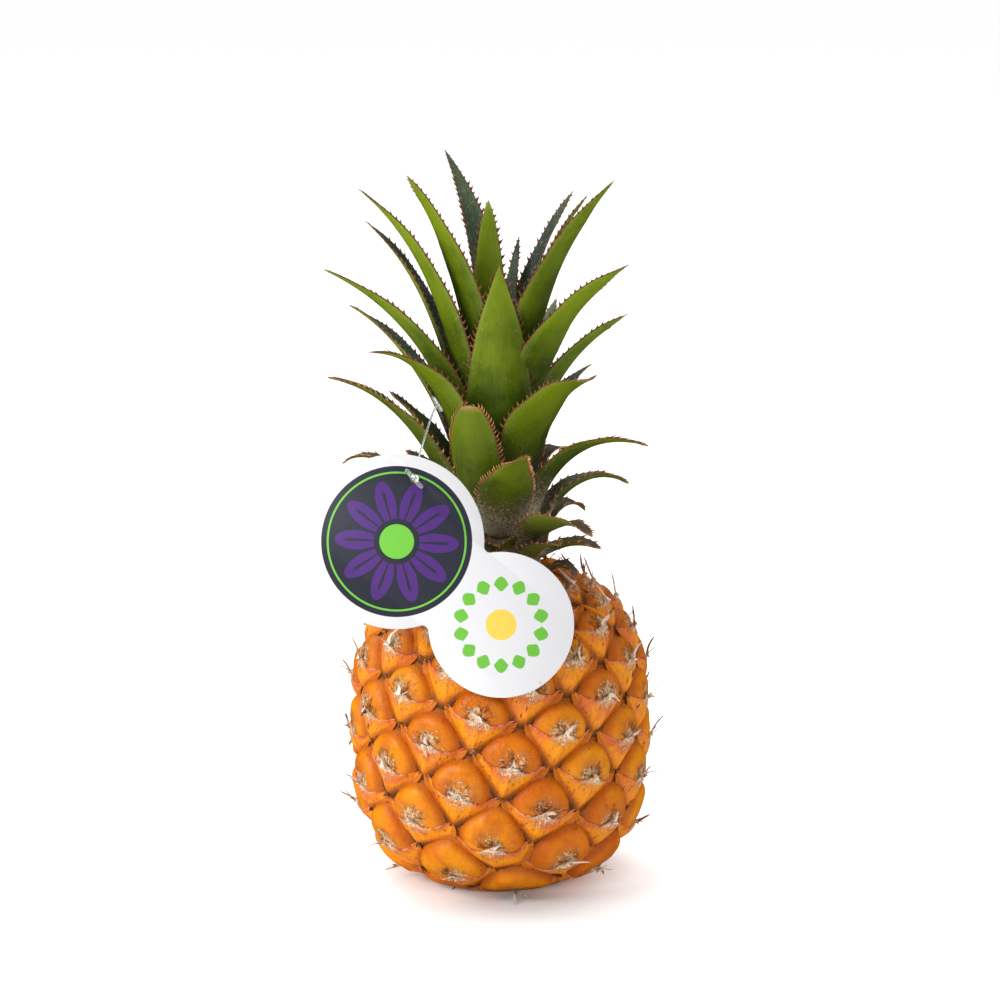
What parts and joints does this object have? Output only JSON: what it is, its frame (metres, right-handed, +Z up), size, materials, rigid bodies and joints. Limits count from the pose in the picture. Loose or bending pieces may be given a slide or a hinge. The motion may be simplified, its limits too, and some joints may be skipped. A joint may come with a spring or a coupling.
{
  "type": "pineapple",
  "caption": "Small whole pineapple with its spiny leaf crown and a swing tag, standing upright on its cut base.",
  "frame": {"origin": "centre of the flat cut base, on the surface that the fruit stands on", "axes": "+Z up along the fruit, -Y to the front, where the tag hangs"},
  "size_m": [0.0977, 0.0946, 0.2074],
  "materials": {
    "fruit_skin": "satin, glossy on the domes",
    "leaf": "satin",
    "stalk": "matt, fibrous",
    "tag_card": "coated card, satin",
    "tag_pin": "clear plastic"
  },
  "bodies": {
    "root": {"fruit": "fruit_skin", "stalk": "stalk", "crown_stem": "stalk", "crown_leaf_01": "leaf", "crown_leaf_02": "leaf", "crown_leaf_03": "leaf", "crown_leaf_04": "leaf", "crown_leaf_05": "leaf", "crown_leaf_06": "leaf", "crown_leaf_07": "leaf", "crown_leaf_08": "leaf", "crown_leaf_09": "leaf", "crown_leaf_10": "leaf", "crown_leaf_11": "leaf", "crown_leaf_12": "leaf", "crown_leaf_13": "leaf", "crown_leaf_14": "leaf", "crown_leaf_15": "leaf", "crown_leaf_16": "leaf", "crown_leaf_17": "leaf", "crown_leaf_18": "leaf", "crown_leaf_19": "leaf", "crown_leaf_20": "leaf", "crown_leaf_21": "leaf", "crown_leaf_22": "leaf", "crown_leaf_23": "leaf", "crown_leaf_24": "leaf", "crown_leaf_25": "leaf", "crown_leaf_26": "leaf", "crown_leaf_27": "leaf", "crown_leaf_28": "leaf", "crown_leaf_29": "leaf", "crown_leaf_30": "leaf", "crown_leaf_31": "leaf", "crown_leaf_32": "leaf", "crown_leaf_33": "leaf", "crown_leaf_34": "leaf", "crown_leaf_35": "leaf", "crown_leaf_36": "leaf", "crown_leaf_37": "leaf", "crown_leaf_38": "leaf", "crown_leaf_39": "leaf", "crown_leaf_40": "leaf", "crown_leaf_41": "leaf", "crown_leaf_42": "leaf", "crown_leaf_43": "leaf", "crown_leaf_44": "leaf", "crown_leaf_45": "leaf", "crown_leaf_46": "leaf", "crown_leaf_47": "leaf", "crown_leaf_48": "leaf", "crown_leaf_49": "leaf", "crown_leaf_50": "leaf", "crown_leaf_51": "leaf", "crown_leaf_52": "leaf", "crown_leaf_53": "leaf", "crown_leaf_54": "leaf", "tag_card": "tag_card", "tag_pin": "tag_pin"}
  },
  "joints": []
}
